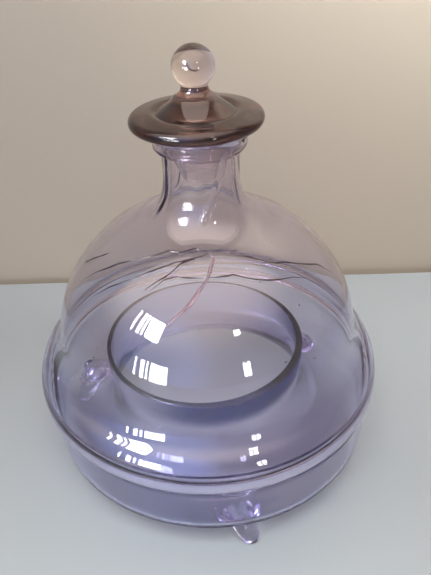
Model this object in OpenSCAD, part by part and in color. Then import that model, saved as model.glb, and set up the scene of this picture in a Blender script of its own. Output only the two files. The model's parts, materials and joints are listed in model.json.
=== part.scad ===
// Blown-glass fly trap: a bell-shaped vessel on three drop feet, open underneath
// through a central well with a bait trough round it, and a loose hollow stopper.
// Millimetres, +Z up. The origin is on the axis, on the surface the feet stand on.
// -Y is the front.

/* [Vessel] */
// Wall thickness of the blown glass
wall = 2; // [1.8:0.1:2.8]
// Radius of the belt, the widest line of the vessel
belt_r = 82; // [80:0.5:86]
// Height of the belt above the table
belt_h = 51.5; // [50:0.5:53]
// Radius of the rounded skirt above the belt
skirt_r = 17.5; // [16:0.5:19]
// Greatest radius of the dome, just above its waist
dome_r = 70.2; // [69:0.1:71]
// Height of the dome's centre
dome_h = 67.5; // [66:0.5:69]
// Rise of the dome from its centre to its crown
dome_rise = 66.7; // [64:0.1:68]
// Radius of the upright band below the belt
band_r = 79; // [78:0.1:79.5]
// Height of the trough's underside above the table
floor_h = 16.5; // [15:0.5:18]

/* [Well] */
// Radius of the open well in the base
well_r = 45.5; // [42:0.5:48]
// Height of the well's rim above the table
rim_h = 62.3; // [58:0.1:64]

/* [Neck] */
// Outer radius of the neck
neck_r = 15.9; // [15.5:0.1:17]
// Height of the mouth above the table
mouth_h = 166.3; // [164:0.1:170]
// Outer radius of the applied collar
collar_r = 18.9; // [18:0.1:20]
// Height of the collar's lower edge above the table
collar_h = 160; // [157:0.5:161]

/* [Feet] */
// Direction of the front foot, turned from the front towards the right
foot_turn = 9.5; // [0:0.5:30]
// Distance of a foot's root from the axis
foot_r = 67.5; // [66:0.5:69]
// Outward splay of a foot
foot_splay = 27; // [10:1:30]
// Sideways lean of a foot
foot_lean = 22; // [0:1:25]
// Radius of a foot at its root
foot_root_r = 8; // [7:0.1:8.5]
// Radius of a foot halfway down
foot_shank_r = 5.4; // [5:0.1:6]
// Radius of a foot's rounded tip
foot_tip_r = 4.4; // [4:0.1:4.8]

/* [Stopper] */
// Radius of the stopper's flange
flange_r = 26.7; // [25:0.1:28]
// Radius of the flange's rounded edge
flange_edge_r = 2.6; // [2:0.1:2.8]
// Height of the flange's edge above the mouth
flange_lift = 4.8; // [4:0.1:5]
// Radius of the step between the flange and the cap
step_r = 16; // [15.5:0.1:17]
// Gap between the plug and the neck's bore
plug_gap = 0.4; // [0.3:0.05:0.6]
// Length of the plug below the mouth
plug_len = 19; // [16:0.5:22]
// Wall thickness of the stopper
plug_wall = 2.2; // [2:0.1:2.5]
// Radius of the plug at its lower end
plug_end_r = 8.5; // [8:0.1:10]
// Height of the hollow plug's roof above the mouth
roof_lift = 3; // [2:0.5:6]
// Radius of the ball knob
ball_r = 8.3; // [7.5:0.1:8.5]
// Height of the ball's centre above the mouth
ball_lift = 24.4; // [24:0.1:26]
// Radius of the knob's waist
waist_r = 5.3; // [5:0.1:6]

/* [Hidden] */
$fn = 96;
glass = "thistle";
smoky_glass = "rosybrown";
clear_glass = "lavender";
skirt_c = [belt_r - skirt_r, belt_h];   // centre of the skirt's arc
skirt_top = 50;                         // angle where the skirt's arc gives way to the waist
dome_foot = 10;                         // angle where the dome's arc gives way to the waist
groove_h = belt_h - 4.5;                // the groove under the belt
corner_r = 6;                           // outer corner between band and trough floor
shoulder_r = 30;                        // where the dome gives way to the neck's sweep
shoulder_rise = 16;                     // length of the neck's sweep up the neck
trough_c = [67, 42];                    // centre of the well's flare into the trough
ball_h = mouth_h + ball_lift;
edge_h = mouth_h + flange_lift;
bore_r = neck_r - wall;
cap_h = edge_h + 3.2;                   // foot of the cap, inside the step
knob_h = mouth_h + 13.6;                // where the knob is fused to the cap
knob_r = 8;

// Points of an elliptical arc about c, semi-axes a and b, from angle f to angle t.
function arc(c, a, b, f, t, n = 12) =
    [for (i = [0:n]) let (g = f + (t - f) * i / n) c + [a * cos(g), b * sin(g)]];

// A smooth bend from p to q that is tangent to the lines from each to the corner k.
function bend(p, k, q, n = 8) =
    [for (i = [0:n]) let (u = i / n) (1-u)*(1-u) * p + 2*u*(1-u) * k + u*u * q];

// Where the line through p meets the line through q, with slopes a and b in
// radius per height.
function meet(p, a, q, b) =
    let (h = (q[0] - p[0] + a * p[1] - b * q[1]) / (a - b)) [p[0] + a * (h - p[1]), h];

function flip(list) = [for (i = [len(list)-1:-1:0]) list[i]];
function dome_height(r, o) =
    dome_h + (dome_rise - o) * sqrt(1 - pow(r / (dome_r - o), 2));

// The vessel's wall is drawn in the plane of [radius, height] as two skins. o is the
// depth into the glass: 0 on the outside, wall on the inside. This one runs from the
// mouth down over the dome and the skirt to the groove under the belt.
function bell_skin(o) =
    let (nr = neck_r - o, dr = dome_r - o, rise = dome_rise - o, sr = skirt_r - o,
         nh = dome_height(nr, o), shoulder = acos((shoulder_r - o) / dr),
         d = [dr * cos(dome_foot), dome_h + rise * sin(dome_foot)],
         s = skirt_c + sr * [cos(skirt_top), sin(skirt_top)],
         waist = meet(d, -dr / rise * tan(dome_foot), s, -tan(skirt_top)))
    concat(
        [[nr, mouth_h]],
        bend([nr, nh + shoulder_rise], [nr, nh + o / 4],
             [shoulder_r - o, dome_height(shoulder_r - o, o)]),
        arc([0, dome_h], dr, rise, shoulder - 3, dome_foot + 3, 20),
        bend(d, waist, s),
        arc(skirt_c, sr, sr, skirt_top - 5, 0, 9),
        bend([belt_r - o, belt_h - 1], [belt_r - o, groove_h + o / 2],
             [band_r - o, groove_h - o / 3], 5));

// This one carries on down the band, round the trough's floor and up the well.
function trough_skin(o) =
    let (cr = corner_r - o, wr = well_r + o)
    concat(
        [[band_r - o, groove_h - o / 3]],
        arc([band_r - corner_r, floor_h + corner_r], cr, cr, 0, -90, 8),
        arc(trough_c, trough_c[0] - wr, trough_c[1] - floor_h - o, 270, 180, 14));

// The bell and the trough are one bubble of glass. They meet face to face in the
// groove under the belt.
module bell() {
    color(glass) rotate_extrude() polygon(concat(bell_skin(0), flip(bell_skin(wall))));
}

module trough() {
    rim = arc([well_r + wall/2, rim_h - wall/2], wall/2, wall/2, 180, 0, 8);
    color(glass) rotate_extrude()
        polygon(concat(trough_skin(0), rim, flip(trough_skin(wall))));
}

// The ring of glass laid round the mouth, with a rounded lower edge.
module neck_collar() {
    round_r = 2;
    color(glass) rotate_extrude()
        polygon(concat([[neck_r, mouth_h], [neck_r, collar_h]],
                       arc([collar_r - round_r, collar_h + round_r], round_r, round_r, -90, 0, 6),
                       arc([collar_r - 1, mouth_h - 1], 1, 1, 0, 90, 4)));
}

// A drop of glass fused into the trough's underside: a swollen root, and a splayed,
// leaning shank that narrows to a rounded tip with a small flat where it stands.
module foot(turn) {
    flat_depth = 0.4;
    root_rise = 1.6;
    root_len = 5;
    tip_len = (floor_h - foot_tip_r + flat_depth) / (cos(foot_lean) * cos(foot_splay));
    rotate([0, 0, turn - 90]) difference() {
        translate([foot_r, 0, floor_h]) {
            rotate_extrude()
                polygon(concat([[0, root_rise], [foot_root_r, root_rise]],
                               bend([foot_root_r, 0], [foot_shank_r, -1], [4, -root_len]),
                               [[0, -root_len]]));
            rotate([-foot_lean, 180 - foot_splay, 0]) rotate_extrude()
                polygon(concat([[0, 1], [3.4, 1], [foot_shank_r, 3]],
                               arc([0, tip_len], foot_tip_r, foot_tip_r, 5, 90, 8)));
        }
        translate([0, -belt_r, -belt_r]) cube([2 * belt_r, 2 * belt_r, belt_r]);
    }
}

module foot_front() {
    color(clear_glass) foot(foot_turn);
}

module foot_rear_right() {
    color(clear_glass) foot(foot_turn + 120);
}

module foot_rear_left() {
    color(clear_glass) foot(foot_turn + 240);
}

// The stopper: a hollow tapered plug, open below, under a thick round flange, a step
// and a solid flared cap.
module stopper_cap() {
    seat_r = collar_r - 1.5;
    plug_r = bore_r - plug_gap;
    end_h = mouth_h - plug_len;
    in_r = plug_r - plug_wall;
    cap_r = step_r - 1;
    roof_h = mouth_h + roof_lift;
    color(smoky_glass) rotate_extrude() polygon(concat(
        arc([plug_end_r - plug_wall/2, end_h + plug_wall/2], plug_wall/2, plug_wall/2, -180, 0, 8),
        bend([plug_r, mouth_h - 6], [plug_r, mouth_h - 2], [plug_r, mouth_h], 2),
        [[seat_r, mouth_h]],
        arc([flange_r - flange_edge_r, edge_h], flange_edge_r, flange_edge_r, -75, 80, 12),
        bend([step_r + 3, edge_h + 3.4], [step_r + 0.6, edge_h + 3.6], [step_r, edge_h + 2.6], 4),
        bend([cap_r, cap_h], [knob_r + 2, knob_h - 2.4], [knob_r, knob_h], 8),
        [[0, knob_h], [0, roof_h]],
        bend([0.4 * in_r, roof_h], [in_r, roof_h], [in_r, mouth_h - 4], 6),
        [[in_r, mouth_h - 6]]));
}

// Solid ball on a short waist, fused to the top of the cap.
module stopper_knob() {
    neck_angle = asin(waist_r / ball_r);
    waist_h = ball_h - ball_r * cos(neck_angle);
    color(smoky_glass) rotate_extrude() polygon(concat(
        [[0, knob_h]],
        bend([knob_r, knob_h], [waist_r - 0.4, knob_h + 1.6], [waist_r, waist_h], 6),
        arc([0, ball_h], ball_r, ball_r, neck_angle - 90 + 4, 90, 20)));
}

bell();
trough();
neck_collar();
foot_front();
foot_rear_right();
foot_rear_left();
stopper_cap();
stopper_knob();
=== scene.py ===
"""Looks of a blown-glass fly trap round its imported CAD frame: vessel, collar, feet and stopper."""

import json
import math
import random

import bmesh
import bpy
import numpy as np
from mathutils import Matrix, Vector


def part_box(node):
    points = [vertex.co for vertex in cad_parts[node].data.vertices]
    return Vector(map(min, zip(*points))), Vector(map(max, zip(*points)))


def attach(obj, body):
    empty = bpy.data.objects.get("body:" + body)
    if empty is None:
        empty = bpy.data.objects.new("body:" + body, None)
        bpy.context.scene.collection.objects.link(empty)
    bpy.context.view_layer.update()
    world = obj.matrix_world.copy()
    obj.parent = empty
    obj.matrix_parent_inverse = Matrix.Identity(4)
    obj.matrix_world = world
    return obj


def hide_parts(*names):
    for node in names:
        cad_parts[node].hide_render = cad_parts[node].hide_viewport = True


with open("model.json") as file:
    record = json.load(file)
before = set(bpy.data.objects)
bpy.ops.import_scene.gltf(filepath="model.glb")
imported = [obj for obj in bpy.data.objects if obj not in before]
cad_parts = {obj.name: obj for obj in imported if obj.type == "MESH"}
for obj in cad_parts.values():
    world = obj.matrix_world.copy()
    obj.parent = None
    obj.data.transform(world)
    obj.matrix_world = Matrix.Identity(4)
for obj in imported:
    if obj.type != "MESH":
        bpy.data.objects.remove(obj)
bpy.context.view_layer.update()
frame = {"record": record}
MM = 0.001

# ---------------------------------------------------------------- camera
# Where the camera stands, in millimetres in the row frame, and how it is turned, in degrees.
CAMERA_AT = (3.5, -229.8, 254.4)
PITCH_DOWN = 35.52
YAW_RIGHT = 0.23
ROLL = -1.5
LENS = 37.88


def make_camera():
    """The scene's camera, looking down at the trap from in front."""
    data = bpy.data.cameras.new("camera")
    data.lens = LENS
    data.clip_start = 0.01
    data.clip_end = 20
    camera = bpy.data.objects.new("camera", data)
    bpy.context.scene.collection.objects.link(camera)
    pitch, yaw, roll = (math.radians(v) for v in (PITCH_DOWN, YAW_RIGHT, ROLL))
    level = Vector((math.sin(yaw), math.cos(yaw), 0))
    ahead = level * math.cos(pitch) - Vector((0, 0, math.sin(pitch)))
    right = Vector((math.cos(yaw), -math.sin(yaw), 0))
    up = right.cross(ahead)
    side = right * math.cos(roll) + up * math.sin(roll)
    top = up * math.cos(roll) - right * math.sin(roll)
    turn = Matrix((side, top, -ahead)).transposed()
    camera.matrix_world = Matrix.Translation(Vector(CAMERA_AT) * MM) @ turn.to_4x4()
    bpy.context.scene.camera = camera


make_camera()

# ---------------------------------------------------------------- sizes, in millimetres
# The driving sizes come from the CAD nodes' boxes; the rest repeat the CAD model's own.


def low_high(node):
    """Lowest and highest corner of a CAD node, in millimetres."""
    low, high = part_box(node)
    return low / MM, high / MM


bell_low, bell_high = low_high("bell")
trough_low, trough_high = low_high("trough")
collar_low, collar_high = low_high("neck_collar")
cap_low, cap_high = low_high("stopper_cap")
knob_low, knob_high = low_high("stopper_knob")

# Belt and skirt. The skirt's arc gives way to the waist at the angle SKIRT_TOP, in degrees.
BELT_R = bell_high.x
GROOVE_H = bell_low.z
BELT_H = GROOVE_H + 4.5
SKIRT_R = 17.5
SKIRT_TOP = 50
# Dome, shoulder and neck. The dome's arc gives way to the waist at the angle DOME_FOOT.
DOME_R = 70.2
DOME_H = 67.5
DOME_RISE = 66.7
DOME_FOOT = 10
SHOULDER_R = 30
SHOULDER_RISE = 16
NECK_R = 15.9
MOUTH_H = bell_high.z
# Band, trough and well. TROUGH_C is the centre of the well's flare, as radius and height.
BAND_R = trough_high.x
CORNER_R = 6
FLOOR_H = trough_low.z
TROUGH_C = (67, 42)
WELL_R = 45.5
RIM_H = trough_high.z
# Collar.
COLLAR_R = collar_high.x
COLLAR_H = collar_low.z
# Thickness of the glass: as in the CAD, over the dome, and in the trough.
WALL = 2.0
THIN_WALL = 1.4
THICK_WALL = 2.6
BORE_R = NECK_R - WALL
# Gaps that keep the glass laid on the vessel, and its feet, from crossing the vessel's skin.
GAP = 0.03
FOOT_GAP = 0.06
# Stopper: flange, step, hollow plug, cap and ball.
FLANGE_R = cap_high.x
EDGE_R = 2.6
EDGE_H = MOUTH_H + 4.8
SEAT_R = COLLAR_R - 1.5
STEP_R = 16
PLUG_GAP = 0.4
PLUG_WALL = 2.2
PLUG_END_R = 8.5
PLUG_END_H = cap_low.z
ROOF_H = MOUTH_H + 3
CAP_H = EDGE_H + 3.2
KNOB_H = knob_low.z
KNOB_R = 8
BALL_R = knob_high.x
BALL_H = knob_high.z - BALL_R
WAIST_R = 5.3

# ---------------------------------------------------------------- outlines
# An outline is a list of points, each a radius and a height.


def arc(c, a, b, start, end, n=12):
    """Points of an elliptical arc about c, semi-axes a and b, between two angles in degrees."""
    turn = np.radians(np.linspace(start, end, n + 1))
    return [(c[0] + a * math.cos(t), c[1] + b * math.sin(t)) for t in turn]


def bend(p, k, q, n=8):
    """A smooth bend from p to q, tangent at each end to the line to the corner k."""
    out = []
    for u in np.linspace(0, 1, n + 1):
        v = 1 - u
        out.append(tuple(v * v * p[i] + 2 * u * v * k[i] + u * u * q[i] for i in (0, 1)))
    return out


def meet(p, a, q, b):
    """Where the line through p meets the line through q, with slopes in radius per height."""
    h = (q[0] - p[0] + a * p[1] - b * q[1]) / (a - b)
    return (p[0] + a * (h - p[1]), h)


def dome_height(r, o):
    """Height of the dome at radius r and depth o into the glass."""
    return DOME_H + (DOME_RISE - o) * math.sqrt(1 - (r / (DOME_R - o)) ** 2)


def outer_belt():
    """Round the belt and under it into the groove."""
    return bend((BELT_R, BELT_H - 1), (BELT_R, GROOVE_H), (BAND_R, GROOVE_H), 14)


def inner_belt(start, o):
    """Inside, the glass fills the belt: one smooth line from the skirt down to the band."""
    belt_r = BELT_R - o
    band_r = BAND_R - o
    middle = (belt_r - 1.1, BELT_H)
    upper = bend(start, (belt_r - 0.1, BELT_H + 3), middle, 6)
    lower = bend(middle, (band_r, BELT_H - 5.7), (band_r, GROOVE_H - 7), 8)
    return upper + lower[1:]


def bell_skin(o):
    """The bell's wall at depth o into the glass, from the neck's top to the groove outside and to
    the band's top inside."""
    neck_r = NECK_R - o
    dome_r = DOME_R - o
    rise = DOME_RISE - o
    skirt_r = SKIRT_R - o
    neck_h = dome_height(neck_r, o)
    neck_end = (SHOULDER_R - o, dome_height(SHOULDER_R - o, o))
    shoulder = math.degrees(math.acos((SHOULDER_R - o) / dome_r))
    skirt_end = 0 if o == 0 else 20
    skirt_c = (BELT_R - SKIRT_R, BELT_H)
    skirt = arc(skirt_c, skirt_r, skirt_r, SKIRT_TOP - 5, skirt_end, 12)
    waist_top = arc((0, DOME_H), dome_r, rise, DOME_FOOT, DOME_FOOT, 1)[0]
    waist_foot = arc(skirt_c, skirt_r, skirt_r, SKIRT_TOP, SKIRT_TOP, 1)[0]
    top_slope = -dome_r / rise * math.tan(math.radians(DOME_FOOT))
    waist = meet(waist_top, top_slope, waist_foot, -math.tan(math.radians(SKIRT_TOP)))
    return (
        bend((neck_r, neck_h + SHOULDER_RISE), (neck_r, neck_h + o / 4), neck_end, 16)
        + arc((0, DOME_H), dome_r, rise, shoulder - 2, DOME_FOOT + 2, 40)
        + bend(waist_top, waist, waist_foot, 10)
        + skirt
        + (outer_belt() if o == 0 else inner_belt(skirt[-1], o))
    )


def trough_skin(o):
    """The trough's wall at depth o, from below the groove round its floor and up the well."""
    corner_r = CORNER_R - o
    corner = (BAND_R - CORNER_R, FLOOR_H + CORNER_R)
    flare_r = TROUGH_C[0] - (WELL_R + o)
    flare_h = TROUGH_C[1] - FLOOR_H - o
    return (
        arc(corner, corner_r, corner_r, 0, -90, 10)
        + arc(TROUGH_C, flare_r, flare_h, 268, 180, 24)
    )


def mix(a, b, share):
    """Between two outlines of equally many points, point by point: a where share is 0, b at 1."""
    return [tuple(p[i] + (q[i] - p[i]) * u for i in (0, 1)) for p, q, u in zip(a, b, share)]


def vessel_outline():
    """One closed loop: down the outside, up the well, over its rim and back up the inside.
    Blown glass is thick at the neck, thin over the dome and thick again at the trough."""
    half = WALL / 2
    rim = arc((WELL_R + half, RIM_H - half), half, half + 0.1, 180, 0)
    mouth_lip = arc((BORE_R + half, MOUTH_H - half), half, half, 180, 0)
    bell_in = bell_skin(WALL)
    count = len(bell_in)
    thinner = [math.sin(math.pi / 2 * min(1, i / (0.4 * count))) for i in range(count)]
    fade = [min(1, (count - 1 - i) / 12) for i in range(count)]
    thin = [a * b for a, b in zip(thinner, fade)]
    trough_in = trough_skin(WALL)
    count = len(trough_in)
    thick = [math.sin(math.pi * i / (count - 1)) for i in range(count)]
    inside = mix(bell_in, bell_skin(THIN_WALL), thin)
    inside += mix(trough_in, trough_skin(THICK_WALL), thick)
    return mouth_lip + bell_skin(0) + trough_skin(0) + rim + inside[::-1]


def even(loop, step, closed=True):
    """The outline again with points at most step apart along it."""
    pts = list(loop) + ([loop[0]] if closed else [])
    out = []
    for p, q in zip(pts, pts[1:]):
        n = max(1, math.ceil(math.dist(p, q) / step))
        out += [(p[0] + (q[0] - p[0]) * i / n, p[1] + (q[1] - p[1]) * i / n) for i in range(n)]
    return out if closed else out + [pts[-1]]


# ---------------------------------------------------------------- hand-made unevenness
# How far the glassblower's hand moved each part, in millimetres: the well and the neck to the
# left, the band to the right, the well's rim up and down, and the skin in and out.
WELL_SHIFT = 2.2
NECK_SHIFT = 0.4
BAND_SHIFT = 0.9
RIM_TILT = 0.5
RIPPLE = 0.35
# The well's rim is thicker on one side: by how much, and round which turn in degrees.
RIM_SWELL = 1.9
HEAVY_TURN = -50
# The well's wall lies inside the first radius, and the open trough outside the second.
WELL_WALL_R = 50
OPEN_TROUGH_R = 56
CROWN_H = DOME_H + DOME_RISE
# Streaks round the neck: how many, their phase and their relief.
STREAKS = ((7, 0.9, 0.09), (11, 2.1, 0.05), (17, 0.4, 0.02))
# Folds down the neck: the turn at the collar and at the fold's foot, in degrees, the foot's
# height, the fold's half-width and its relief.
FOLDS = (
    (-56, -88, 137, 0.75, 1.05),
    (-147, -160, 135, 1.1, 0.6),
    (-35, -28, 140, 0.9, 0.4),
    (120, 135, 140, 1.0, 0.6),
)
# Slow waves in the glass: how many round the vessel, their rate up it, and their share.
WAVES = ((2, 0.012, 0.5), (3, 0.021, 0.3), (5, 0.033, 0.2), (1, 0.05, 0.25))


def smooth(a, b, x):
    """0 below a, 1 above b, smooth between."""
    t = np.clip((x - a) / (b - a), 0, 1)
    return t * t * (3 - 2 * t)


def wobble(turn, height):
    """The slow unevenness of blown glass, about -1 to 1, over the turn and the height."""
    return sum(
        share * np.sin(n * turn + rate * height + 1.7 + n) for n, rate, share in WAVES
    )


def ribs(turn, z):
    """Upright streaks that the tool left where it drew out the neck, in millimetres."""
    slope = 0.02 * (z - COLLAR_H)
    return sum(relief * np.sin(n * (turn + slope) + phase) for n, phase, relief in STREAKS)


def folds(turn, z):
    """Folds that run down the neck on to the shoulder, in millimetres."""
    out = np.zeros_like(z)
    for top_turn, foot_turn, foot_z, width, relief in FOLDS:
        down = np.clip((COLLAR_H - z) / (COLLAR_H - foot_z), 0, 1.2)
        middle = np.radians(top_turn + (foot_turn - top_turn) * down ** 1.4)
        off = (turn - middle + math.pi) % (2 * math.pi) - math.pi
        out += relief * np.exp(-((off * NECK_R / width) ** 2)) * (1 - smooth(1.0, 1.15, down))
    return out


def neck_relief(r, turn, z):
    """Streaks and folds on the outside of the neck, from the crown up to the collar."""
    outside = (r > NECK_R - WALL / 2) & (r < 40) & (z > RIM_H)
    zone = outside * smooth(CROWN_H - 6, CROWN_H + 4, z) * (1 - smooth(COLLAR_H - 1, COLLAR_H, z))
    return zone * (ribs(turn, z) + folds(turn, z))


def rim_swell(r, turn, z):
    """The heavy side of the well's rim, on the face towards the trough."""
    heavy = np.clip(np.cos(turn - math.radians(HEAVY_TURN)), 0, 1) ** 1.2
    face = (z < RIM_H + 2) * (r > WELL_R + WALL / 2) * (r < OPEN_TROUGH_R)
    return RIM_SWELL * heavy * smooth(RIM_H - 16, RIM_H - 5, z) * face


def uneven_vessel(points):
    """Moves points of the vessel as the glassblower's hand did: by no more than about 3 mm."""
    x, y, z = points.T
    r = np.hypot(x, y)
    turn = np.arctan2(y, x)
    ripple = RIPPLE * wobble(turn, z) * smooth(NECK_R, 60, r)
    scale = 1 + neck_relief(r, turn, z) / r
    scale = scale * (1 + rim_swell(r, turn, z) / r)
    scale = scale * (1 + ripple / r)
    well = smooth(FLOOR_H, RIM_H, z) * (z < RIM_H + 2)
    well = well * (1 - smooth(WELL_WALL_R, OPEN_TROUGH_R, r))
    band = (1 - smooth(GROOVE_H - 6, GROOVE_H + 6, z)) * (1 - well)
    neck = smooth(CROWN_H, MOUTH_H, z)
    shift = BAND_SHIFT * band - WELL_SHIFT * well - NECK_SHIFT * neck
    tilt = RIM_TILT * well * np.cos(turn + 0.6)
    return np.stack((x * scale + shift, y * scale, z + tilt), 1)


# ---------------------------------------------------------------- meshes


def piece(name, bm, material, body, slot, *nodes):
    """Turns a bmesh in millimetres into a smooth piece in metres that rides on a body."""
    bmesh.ops.recalc_face_normals(bm, faces=bm.faces)
    bmesh.ops.scale(bm, vec=(MM, MM, MM), verts=bm.verts)
    mesh = bpy.data.meshes.new(name)
    bm.to_mesh(mesh)
    bm.free()
    mesh.shade_smooth()
    mesh.materials.append(material)
    obj = bpy.data.objects.new(name, mesh)
    bpy.context.scene.collection.objects.link(obj)
    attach(obj, body)
    if nodes:
        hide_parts(*nodes)
    return obj


def join(bm, a, b):
    """Faces between two rings of vertices, either of which may be a single point."""
    count = max(len(a), len(b))
    for i in range(count):
        j = (i + 1) % count
        if len(a) == 1:
            bm.faces.new((a[0], b[i], b[j]))
        elif len(b) == 1:
            bm.faces.new((a[i], b[0], a[j]))
        else:
            bm.faces.new((a[i], b[i], b[j], a[j]))


def lathe(outline, segments, shape, closed=True):
    """A bmesh of the outline revolved about the axis, its points then moved by shape."""
    bm = bmesh.new()
    turns = np.linspace(0, 2 * math.pi, segments, endpoint=False)
    rings = []
    for r, h in outline:
        around = turns if r > 1e-6 else turns[:1]
        ring = np.stack((r * np.cos(around), r * np.sin(around), np.full(len(around), h)), 1)
        rings.append([bm.verts.new(p) for p in shape(ring)])
    for a, b in zip(rings, rings[1:]):
        join(bm, a, b)
    if closed:
        join(bm, rings[-1], rings[0])
    return bm


def tube(bm, stations):
    """Adds a closed tube with eight sides. A station is its middle and two half-axes there."""
    rings = []
    for at, across, out in stations:
        ring = []
        for k in range(8):
            turn = math.pi * k / 4
            ring.append(bm.verts.new(at + across * math.cos(turn) + out * math.sin(turn)))
        rings.append(ring)
    for a, b in zip(rings, rings[1:]):
        join(bm, a, b)
    bm.faces.new(rings[0])
    bm.faces.new(rings[-1][::-1])


# ---------------------------------------------------------------- glass
IOR = 1.5
# Tints of the vessel: near the top, near the bottom, in clouds, and in a band just under the well's
# rim on its front-right side.
PINKISH = (0.995, 0.965, 0.945)
BLUISH = (0.83, 0.87, 0.995)
CLOUDY = (0.94, 0.91, 0.95)
DEEP_VIOLET = (0.035, 0.045, 0.30)
# Tints of the stopper: its flange and cap in two shades, its plug and its ball.
SMOKE = (0.17, 0.085, 0.07)
DARK_SMOKE = (0.10, 0.055, 0.05)
PLUG_TINT = (0.90, 0.85, 0.86)
BALL_TINT = (0.97, 0.95, 0.945)


class Nodes:
    """Small helper that adds and links the nodes of one material."""

    def __init__(self, tree):
        self.tree = tree

    def add(self, kind, *inputs, **settings):
        """A node with its settings; an input is a value, a socket to link, or None to leave."""
        node = self.tree.nodes.new("ShaderNode" + kind)
        for key, value in settings.items():
            setattr(node, key, value)
        for i, value in enumerate(inputs):
            if isinstance(value, bpy.types.NodeSocket):
                self.tree.links.new(value, node.inputs[i])
            elif value is not None:
                node.inputs[i].default_value = value
        return node

    def calc(self, operation, *inputs):
        return self.add("Math", *inputs, operation=operation).outputs[0]

    def dot(self, vector, direction):
        """How far a vector points along a direction."""
        unit = Vector(direction).normalized()
        return self.add("VectorMath", vector, unit, operation="DOT_PRODUCT").outputs["Value"]

    def step(self, value, low, high):
        """0 below low, 1 above high, smooth between."""
        node = self.add("MapRange", value, low, high, interpolation_type="SMOOTHSTEP")
        return node.outputs[0]

    def noise(self, place, scale, detail=2.0, stretch=(1, 1, 1)):
        scaled = self.add("VectorMath", place, stretch, operation="MULTIPLY").outputs[0]
        node = self.add("TexNoise", scaled)
        node.inputs["Scale"].default_value = scale
        node.inputs["Detail"].default_value = detail
        return node.outputs["Fac"]

    def blend(self, share, a, b):
        """Between two colours: a where share is 0, b where it is 1."""
        node = self.add("Mix", data_type="RGBA")
        for socket, value in ((0, share), (6, a), (7, b)):
            if isinstance(value, bpy.types.NodeSocket):
                self.tree.links.new(value, node.inputs[socket])
            else:
                node.inputs[socket].default_value = value if socket == 0 else (*value, 1)
        return node.outputs[2]


def glass(name, tint, absorb, density, patina=0.0):
    """Blown glass: clear transmission with absorption in its depth, faint ripples and, where
    patina is given, patches of a slightly duller surface. tint is a colour, or a function of the
    material's nodes."""
    material = bpy.data.materials.new(name)
    material.use_nodes = True
    tree = material.node_tree
    shader = tree.nodes["Principled BSDF"]
    shader.inputs["Transmission Weight"].default_value = 1
    shader.inputs["IOR"].default_value = IOR
    shader.inputs["Roughness"].default_value = 0
    n = Nodes(tree)
    place = n.add("TexCoord").outputs["Object"]
    if callable(tint):
        color = tint(n, place)
    else:
        color = n.blend(n.noise(place, 18), tint, [c * 0.985 for c in tint])
    tree.links.new(color, shader.inputs["Base Color"])
    if patina:
        dull = n.step(n.noise(place, 26, 4), 0.55, 0.75)
        tree.links.new(n.calc("MULTIPLY", dull, patina), shader.inputs["Roughness"])
    relief = n.add("Bump")
    relief.inputs["Strength"].default_value = 0.02
    relief.inputs["Distance"].default_value = 2 * MM
    tree.links.new(n.noise(place, 45, 1, (1, 1, 0.6)), relief.inputs["Height"])
    tree.links.new(relief.outputs["Normal"], shader.inputs["Normal"])
    depth = n.add("VolumeAbsorption")
    depth.inputs["Color"].default_value = (*absorb, 1)
    depth.inputs["Density"].default_value = density
    tree.links.new(depth.outputs["Volume"], tree.nodes["Material Output"].inputs["Volume"])
    return material


def amethyst_tint(n, place):
    """Pinkish at the top and bluish below, with cloudy streaks; deep violet in a band just under the
    well's rim, on its front-right side."""
    x, y, z = n.add("SeparateXYZ", place).outputs
    base = n.blend(n.step(z, 45 * MM, 115 * MM), BLUISH, PINKISH)
    base = n.blend(n.step(n.noise(place, 14, 3, (1, 1, 0.5)), 0.35, 0.80), base, CLOUDY)
    radius = n.calc("SQRT", n.calc("ADD", n.calc("MULTIPLY", x, x), n.calc("MULTIPLY", y, y)))
    heavy = math.radians(HEAVY_TURN)
    towards = n.dot(place, (math.cos(heavy), math.sin(heavy), 0))
    heavy_side = n.step(n.calc("DIVIDE", towards, radius), -0.1, 0.75)
    rim = n.step(z, (RIM_H - 16) * MM, (RIM_H - 7) * MM)
    rim = n.calc("MULTIPLY", rim, n.calc("LESS_THAN", z, (RIM_H + 3) * MM))
    rim = n.calc("MULTIPLY", rim, n.calc("LESS_THAN", radius, (OPEN_TROUGH_R - 2) * MM))
    return n.blend(n.calc("MULTIPLY", rim, heavy_side), base, DEEP_VIOLET)


def smoky_tint(n, place):
    """Dark smoky brown in the flange and the cap, almost clear in the plug and the ball."""
    z = n.add("SeparateXYZ", place).outputs[2]
    in_ball = n.step(z, (KNOB_H - 2) * MM, (KNOB_H + 3) * MM)
    above_plug = n.step(z, (MOUTH_H - 8) * MM, (MOUTH_H + 2) * MM)
    clouds = n.blend(n.step(n.noise(place, 60, 3), 0.35, 0.7), SMOKE, DARK_SMOKE)
    return n.blend(in_ball, n.blend(above_plug, PLUG_TINT, clouds), BALL_TINT)


AMETHYST = glass("amethyst", amethyst_tint, (0.45, 0.35, 0.65), 92, patina=0.05)
SMOKY = glass("smoky", smoky_tint, (0.45, 0.18, 0.12), 30)
CLEAR = glass("clear", (0.91, 0.92, 0.97), (0.52, 0.46, 0.66), 40)
ROSE = glass("rose", (0.78, 0.60, 0.68), (0.6, 0.3, 0.4), 200)
CREASE = glass("crease", (0.16, 0.09, 0.11), (0.5, 0.3, 0.4), 1500)

# ---------------------------------------------------------------- vessel

vessel = lathe(even(vessel_outline(), 2.2), 256, uneven_vessel)
piece("vessel", vessel, AMETHYST, "vessel", "amethyst_glass", "bell", "trough")

# ---------------------------------------------------------------- collar


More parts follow.
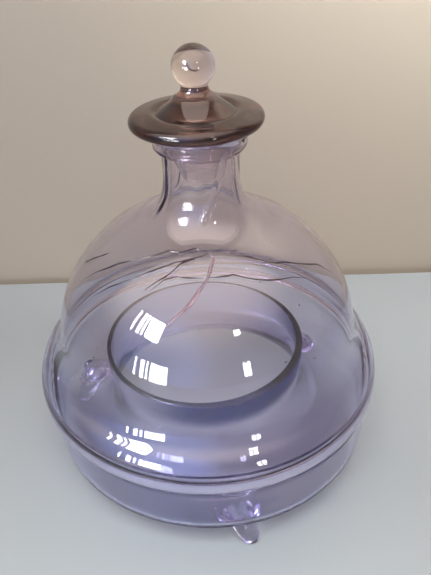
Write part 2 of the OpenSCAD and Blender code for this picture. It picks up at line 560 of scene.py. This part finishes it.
def collar_outline():
    """The ring of glass laid round the mouth, with rounded edges."""
    inner = NECK_R + GAP
    small_r = 0.4
    lower_r = 2
    upper_r = 1.3
    top = MOUTH_H - 0.1
    return (
        [(inner, MOUTH_H - 1.4), (inner, COLLAR_H + small_r)]
        + arc((inner + small_r, COLLAR_H + small_r), small_r, small_r, 180, 270, 3)
        + arc((COLLAR_R - lower_r, COLLAR_H + lower_r), lower_r, lower_r, -90, 0, 8)
        + arc((COLLAR_R - upper_r, MOUTH_H - upper_r), upper_r, upper_r, 0, 90, 6)
        + bend((COLLAR_R - 1.6, MOUTH_H), (inner + small_r, top), (inner, MOUTH_H - 1), 4)
    )


def uneven_collar(points):
    """Follows the neck's own small offset, with the neck's streaks a little stronger."""
    x, y, z = points.T
    r = np.hypot(x, y)
    outside = smooth(NECK_R + 0.5, NECK_R + 1.5, r)
    scale = 1 + outside * 1.6 * ribs(np.arctan2(y, x), z) / r
    return np.stack((x * scale - NECK_SHIFT * smooth(CROWN_H, MOUTH_H, z), y * scale, z), 1)


collar = lathe(even(collar_outline(), 1.0), 160, uneven_collar)
piece("neck_collar", collar, AMETHYST, "vessel", "amethyst_glass", "neck_collar")

# ---------------------------------------------------------------- feet
# Where the front foot's root and tip are, as a radius and a turn from +X in degrees. The tip
# is where the record's mount says that the foot stands.
FOOT_R = 67.5
FOOT_TURN = -80.5
PAD = Vector(frame["record"]["mounts"][0]["pos_m"]) / MM
PAD_R = math.hypot(PAD.x, PAD.y)
PAD_TURN = math.degrees(math.atan2(PAD.y, PAD.x))
FOOT_SIDES = 64
# How far down the foot, from root to tip, and its radius there.
FOOT_SHAPE = (
    (0, 10.4), (0.05, 8.4), (0.11, 6.9), (0.2, 6.0), (0.35, 5.6), (0.6, 5.2), (0.78, 4.8),
    (0.88, 4.2), (0.95, 3.2), (0.985, 2.2), (1, 1.2),
)


def underside(r):
    """Height of the trough's underside at radius r."""
    if r <= TROUGH_C[0]:
        out = (r - TROUGH_C[0]) / (TROUGH_C[0] - WELL_R)
        return TROUGH_C[1] - (TROUGH_C[1] - FLOOR_H) * math.sqrt(1 - out ** 2)
    edge = max(0, r - (BAND_R - CORNER_R))
    return FLOOR_H + CORNER_R - math.sqrt(max(0, CORNER_R ** 2 - edge ** 2))


def at_turn(r, degrees):
    """The point at radius r and a turn from +X, at height 0."""
    turn = math.radians(degrees)
    return Vector((r * math.cos(turn), r * math.sin(turn), 0))


def foot_ring(bm, middle, radius, down, sides=FOOT_SIDES):
    """A ring of a foot: the trough's underside there, lowered by a share of its height."""
    ring = []
    for t in np.linspace(0, 2 * math.pi, sides, endpoint=False):
        at = middle + Vector((math.cos(t), math.sin(t), 0)) * radius
        top = underside(math.hypot(at.x - BAND_SHIFT, at.y)) - FOOT_GAP
        at.z = top * (1 - down)
        ring.append(bm.verts.new(at))
    return ring


def foot(name, turn):
    """A drop of glass smeared on to the trough's underside and drawn out to a rounded tip."""
    root = at_turn(FOOT_R, FOOT_TURN + turn)
    tip = at_turn(PAD_R, PAD_TURN + turn)
    bm = bmesh.new()
    rings = [foot_ring(bm, root, 0, 0, sides=1)]
    for share in (0.25, 0.5, 0.75):
        rings.append(foot_ring(bm, root, share * FOOT_SHAPE[0][1], 0))
    for down, radius in even(FOOT_SHAPE, 0.04, closed=False):
        rings.append(foot_ring(bm, root.lerp(tip, down), radius, down))
    rings.append([bm.verts.new(tip)])
    for a, b in zip(rings, rings[1:]):
        join(bm, a, b)
    piece(name, bm, CLEAR, "vessel", "clear_glass", name)


foot("foot_front", 0)
foot("foot_rear_right", 120)
foot("foot_rear_left", 240)

# ---------------------------------------------------------------- creases in the dome
# Each crease is a fine dark thread on the dome's skin: its radius, and its route as the turn in
# degrees and the height in millimetres. They gather at a point in front, under the shoulder.
CREASES = (
    (0.34, ((-86, 128), (-97, 129), (-108, 128), (-117, 128), (-127, 126), (-136, 124),
            (-145, 121), (-155, 115), (-163, 107))),
    (0.30, ((-86, 128), (-98, 127), (-109, 126), (-118, 124), (-125, 122), (-132, 119),
            (-140, 115), (-147, 109))),
    (0.26, ((-96, 127), (-105, 126), (-111, 123), (-116, 121), (-121, 118))),
    (0.24, ((-90, 123), (-98, 123), (-106, 123), (-112, 122), (-118, 118))),
    (0.30, ((-172, 111), (-166, 116), (-158, 121))),
    (0.30, ((-68, 127), (-60, 126), (-52, 124), (-45, 122), (-39, 121), (-31, 118),
            (-21, 114), (-15, 107))),
    (0.27, ((-88, 123), (-81, 123), (-73, 123), (-64, 121), (-54, 119), (-48, 118),
            (-42, 117), (-34, 114))),
)
# The pinkish trail that runs down from that point.
TRAIL_SIZE = 0.55
TRAIL = ((-86, 128), (-83, 127), (-86, 125), (-88, 123), (-93, 120), (-98, 116), (-103, 113),
         (-107, 109))
# A thread's thickness out of the skin, as a share of its width.
FLATNESS = 0.6


def dome_point(turn, height, lift):
    """A point on the uneven dome, lift above its skin."""
    up = (height - DOME_H) / DOME_RISE
    r = DOME_R * math.sqrt(1 - up * up)
    if r < SHOULDER_R:
        skin = [p for p in bell_skin(0) if p[1] > DOME_H][::-1]
        r = float(np.interp(height, [p[1] for p in skin], [p[0] for p in skin]))
    at = np.array([[*at_turn(r + lift, turn).xy, height]])
    return Vector(uneven_vessel(at)[0])


def thread(bm, radius, route, lift):
    """A thread of glass along a smooth route, thinning to almost nothing at both ends."""
    marks = np.array(route, float)
    along = np.arange(len(marks))
    fine = np.linspace(0, along[-1], 14 * len(marks))
    window = np.hanning(9) / np.hanning(9).sum()
    turns, heights = (
        np.convolve(np.pad(np.interp(fine, along, column), 4, "edge"), window, "valid")
        for column in marks.T
    )
    points = [dome_point(t, h, lift) for t, h in zip(turns, heights)]
    last = len(points) - 1
    stations = []
    for i, at in enumerate(points):
        ahead = (points[min(i + 1, last)] - points[max(i - 1, 0)]).normalized()
        out = Vector((at.x, at.y, 0.6 * (at.z - DOME_H))).normalized()
        across = ahead.cross(out).normalized()
        out = across.cross(ahead)
        share = i / last
        size = radius * min(1, 5 * share + 0.25, 4 * (1 - share) + 0.12)
        size *= 1 + 0.25 * math.sin(17 * share + 40 * radius)
        stations.append((at, across * size, out * size * FLATNESS))
    tube(bm, stations)


creases = bmesh.new()
for radius, route in CREASES:
    thread(creases, radius, route, lift=radius * FLATNESS + GAP)
piece("creases", creases, CREASE, "vessel", "amethyst_glass")
trail = bmesh.new()
thread(trail, TRAIL_SIZE, TRAIL, lift=TRAIL_SIZE * FLATNESS + GAP)
piece("trail", trail, ROSE, "vessel", "amethyst_glass")

# ---------------------------------------------------------------- bubbles in the dome
# The faces of a bubble look inward, because the glass is outside it.


def seeds(count):
    """Small air bubbles, drawn out upwards, in the middle of the dome's wall."""
    draw = random.Random(7)
    bm = bmesh.new()
    for _ in range(count):
        turn = draw.uniform(-180, 180)
        height = draw.uniform(84, 128)
        size = draw.uniform(0.14, 0.34)
        stretch = draw.uniform(1, 1.8)
        at = dome_point(turn, height, -0.75)
        made = bmesh.ops.create_icosphere(bm, subdivisions=2, radius=size)["verts"]
        lay = Matrix.Rotation(math.radians(turn), 4, "Z") @ Matrix.Rotation(math.pi / 2, 4, "X")
        for v in made:
            v.co = at + lay @ Vector((v.co.x * 0.8, v.co.y, v.co.z * stretch))
    return bm


bubbles = piece("bubbles", seeds(60), AMETHYST, "vessel", "amethyst_glass")
bubbles.data.flip_normals()

# ---------------------------------------------------------------- stopper
# It sits askew: tilted by these angles in degrees, eccentric above its plug, its ball squashed.
TILT_BACK = 1.4
TILT_LEFT = 1.4
FLANGE_SHIFT = 0.8
BALL_SQUASH = 0.95


def stopper_outline():
    """From the axis inside the cap round the plug's end and the flange, up to the ball's top."""
    plug_r = BORE_R - PLUG_GAP
    in_r = plug_r - PLUG_WALL
    lip = PLUG_WALL / 2
    root_h = MOUTH_H - 0.6
    neck_angle = math.degrees(math.asin(WAIST_R / BALL_R))
    waist_h = BALL_H - BALL_R * math.cos(math.radians(neck_angle))
    return (
        [(0, ROOF_H)]
        + bend((in_r * 0.4, ROOF_H), (in_r, ROOF_H), (in_r, MOUTH_H - 4), 10)
        + [(in_r, MOUTH_H - 6)]
        + arc((PLUG_END_R - lip, PLUG_END_H + lip), lip, lip, 180, 360, 8)
        + bend((plug_r, MOUTH_H - 6), (plug_r, MOUTH_H - 2), (plug_r, root_h), 3)
        + bend((plug_r, root_h), (plug_r, MOUTH_H), (plug_r + 0.6, MOUTH_H), 3)
        + [(SEAT_R, MOUTH_H)]
        + arc((FLANGE_R - EDGE_R, EDGE_H), EDGE_R, EDGE_R, -75, 80, 16)
        + bend((STEP_R + 3, EDGE_H + 3.4), (STEP_R + 0.6, EDGE_H + 3.6), (STEP_R, EDGE_H + 2.6), 6)
        + bend((STEP_R - 1, CAP_H), (KNOB_R + 2, KNOB_H - 2.4), (KNOB_R, KNOB_H), 10)
        + bend((KNOB_R, KNOB_H), (WAIST_R - 0.4, KNOB_H + 1.6), (WAIST_R, waist_h), 10)
        + arc((0, BALL_H), BALL_R, BALL_R, neck_angle - 86, 89.5, 30)
        + [(0, BALL_H + BALL_R)]
    )


def lean(points):
    """Moves points of the upright stopper to where it sits, resting on the collar's top."""
    x, y, z = points.T
    up = z - MOUTH_H
    back = math.radians(TILT_BACK)
    left = math.radians(TILT_LEFT)
    rest = SEAT_R * math.hypot(back, left)
    squashed = np.where(z > BALL_H, BALL_H + (z - BALL_H) * BALL_SQUASH, z)
    offset = NECK_SHIFT + FLANGE_SHIFT * smooth(0, 4, up)
    moved = (x - offset - left * up, y + back * up, squashed + left * x - back * y + rest)
    return np.stack(moved, 1)


def stopper_bubbles():
    """A flat bubble in the cap on the left and a curl of air in the middle of the ball."""
    bm = bmesh.new()
    middle = Vector((-9.5, -1.5, CAP_H + 2.5))
    bmesh.ops.create_uvsphere(bm, u_segments=32, v_segments=16, radius=1)
    for v in bm.verts:
        v.co = middle + Vector((v.co.x * 2.2, v.co.y * 2.2, v.co.z * 0.7 + v.co.x * 1.7))
    middle = Vector((0.6, -1.5, BALL_H + 1.2))
    stations = []
    for i in range(13):
        turn = math.radians(165 + 130 * i / 12)
        out = Vector((math.cos(turn), 0, math.sin(turn)))
        size = 0.28 * math.sin(math.pi * (i + 0.6) / 13.2) ** 0.5
        stations.append((middle + out * 2.2, out * size, Vector((0, size, 0))))
    tube(bm, stations)
    for v in bm.verts:
        v.co = lean(np.array([v.co]))[0]
    return bm


stopper = lathe(even(stopper_outline(), 0.9, closed=False), 160, lean, closed=False)
piece("stopper", stopper, SMOKY, "stopper", "smoky_glass", "stopper_cap", "stopper_knob")
air = piece("stopper_bubbles", stopper_bubbles(), SMOKY, "stopper", "smoky_glass")
air.data.flip_normals()

# ---------------------------------------------------------------- floor and backdrop, in metres
# How far the stage reaches to each side, in front and behind, and how high the backdrop is.
SIDE = 1.6
AHEAD = 1.8
BACKDROP_TOP = 1.2
# The backdrop stands this far behind the axis, and the floor stops a little before it.
WALL_Y = 0.143
FLOOR_GAP = 0.005
FLOOR_DEPTH = 0.06


def matte(name, color, one_sided=False):
    """A plain matt colour; one_sided leaves it unseen from behind."""
    material = bpy.data.materials.new(name)
    material.use_nodes = True
    tree = material.node_tree
    shader = tree.nodes["Principled BSDF"]
    shader.inputs["Base Color"].default_value = (*color, 1)
    shader.inputs["Roughness"].default_value = 0.6
    if one_sided:
        n = Nodes(tree)
        behind = n.add("NewGeometry").outputs["Backfacing"]
        clear = n.add("BsdfTransparent").outputs["BSDF"]
        both = n.add("MixShader", behind, shader.outputs["BSDF"], clear)
        tree.links.new(both.outputs["Shader"], tree.nodes["Material Output"].inputs["Surface"])
    return material


def stage(name, mesh, material):
    """Shows a mesh as part of the stage, not of the object."""
    mesh.materials.append(material)
    obj = bpy.data.objects.new(name, mesh)
    bpy.context.scene.collection.objects.link(obj)


def slab(name, low, high, material):
    """A box of the stage between two corners."""
    bm = bmesh.new()
    bmesh.ops.create_cube(bm, size=1)
    for v in bm.verts:
        v.co = [l + (h - l) * (c + 0.5) for l, h, c in zip(low, high, v.co)]
    mesh = bpy.data.meshes.new(name)
    bm.to_mesh(mesh)
    bm.free()
    stage(name, mesh, material)


def backdrop():
    """A wall behind the object that is seen from in front only."""
    outline = ((-SIDE, -FLOOR_DEPTH), (SIDE, -FLOOR_DEPTH), (SIDE, BACKDROP_TOP),
               (-SIDE, BACKDROP_TOP))
    mesh = bpy.data.meshes.new("backdrop")
    mesh.from_pydata([(x, WALL_Y, z) for x, z in outline], [], [range(4)])
    stage("backdrop", mesh, matte("backdrop", (0.50, 0.435, 0.34), one_sided=True))


FLOOR = matte("floor", (0.44, 0.49, 0.51))
slab("floor", (-SIDE, -AHEAD, -FLOOR_DEPTH), (SIDE, WALL_Y - FLOOR_GAP, 0), FLOOR)
slab("floor_behind", (-SIDE, WALL_Y + MM, -FLOOR_DEPTH), (SIDE, AHEAD, 0), FLOOR)
backdrop()

# ---------------------------------------------------------------- light, in metres and watts
OBJECT_MIDDLE = Vector((0, 0, 0.1))
# A window's panes: each one's offset and width, as shares of the window's width.
LEFT_PANES = ((0, 0.60), (-0.42, 0.07), (-0.60, 0.13), (-0.88, 0.06))
RIGHT_PANES = ((-0.27, 0.42), (0.27, 0.42))


def area_light(name, at, aim, size, power):
    """A bright rectangle that faces a point and isn't seen directly."""
    data = bpy.data.lights.new(name, "AREA")
    data.shape = "RECTANGLE"
    data.size, data.size_y = size
    data.energy = power
    obj = bpy.data.objects.new(name, data)
    obj.location = at
    obj.rotation_euler = (Vector(aim) - Vector(at)).to_track_quat("-Z", "Y").to_euler()
    obj.visible_camera = False
    bpy.context.scene.collection.objects.link(obj)
    return obj


def window(name, at, size, power, parts):
    """A window of panes side by side, which shows in the glass and sheds no light on the stage."""
    centre = Vector(at)
    across = Vector((0, 0, 1)).cross(OBJECT_MIDDLE - centre).normalized()
    for i, (offset, width) in enumerate(parts):
        spot = centre - across * offset * size[0]
        pane = (size[0] * width, size[1])
        light = area_light(f"{name}_{i}", spot, OBJECT_MIDDLE, pane, power * width)
        light.visible_diffuse = False


def lamp(name, at, aim, size, power, spread):
    """A soft lamp for the floor and the backdrop, which the glass doesn't show."""
    light = area_light(name, at, aim, size, power)
    light.data.spread = math.radians(spread)
    light.visible_glossy = False
    light.visible_transmission = False


def studio():
    """Soft light all round: brightest from above, with a cool glow in front round the
    windows. The floor and the backdrop get less of it. Looked at directly, it is plain grey."""
    world = bpy.data.worlds.new("studio")
    bpy.context.scene.world = world
    world.use_nodes = True
    tree = world.node_tree
    n = Nodes(tree)
    place = n.add("TexCoord").outputs["Generated"]
    above = n.step(n.dot(place, (-0.18, -0.10, 1.0)), 0.3, 1.0)
    in_front = n.step(n.dot(place, (-0.55, -0.80, 0.25)), 0.70, 0.98)
    sky = n.blend(above, (0.38, 0.35, 0.35), (3.7, 3.2, 2.9))
    glow = n.blend(in_front, (0, 0, 0), (0.60, 0.85, 1.90))
    total = n.add("VectorMath", sky, glow, operation="ADD").outputs[0]
    ray = n.add("LightPath").outputs
    total = n.blend(ray["Is Camera Ray"], total, (0.55, 0.54, 0.53))
    strength = n.calc("SUBTRACT", 1, n.calc("MULTIPLY", ray["Is Diffuse Ray"], 0.93))
    tree.links.new(total, tree.nodes["Background"].inputs["Color"])
    tree.links.new(strength, tree.nodes["Background"].inputs["Strength"])


window("window_high", (-0.92, -0.9, 0.9), (0.5, 0.42), 26, LEFT_PANES)
window("window_low", (-0.78, -1.15, 0.12), (0.5, 0.42), 20, LEFT_PANES)
window("window_right_high", (0.52, -1.0, 0.9), (0.11, 0.10), 1.2, RIGHT_PANES)
window("window_right_low", (0.64, -1.2, 0.28), (0.13, 0.26), 2.4, RIGHT_PANES)
lamp("backdrop_lamp", (0.20, -0.06, 0.40), (0.17, WALL_Y, 0.40), (0.2, 0.2), 1.9, 170)
lamp("floor_lamp", (-0.04, -0.34, 0.55), (-0.04, -0.34, 0), (0.4, 0.25), 1.55, 100)
studio()
scene = bpy.context.scene
scene.view_settings.view_transform = "Standard"
scene.cycles.max_bounces = 32
scene.cycles.transmission_bounces = 24
scene.cycles.glossy_bounces = 12
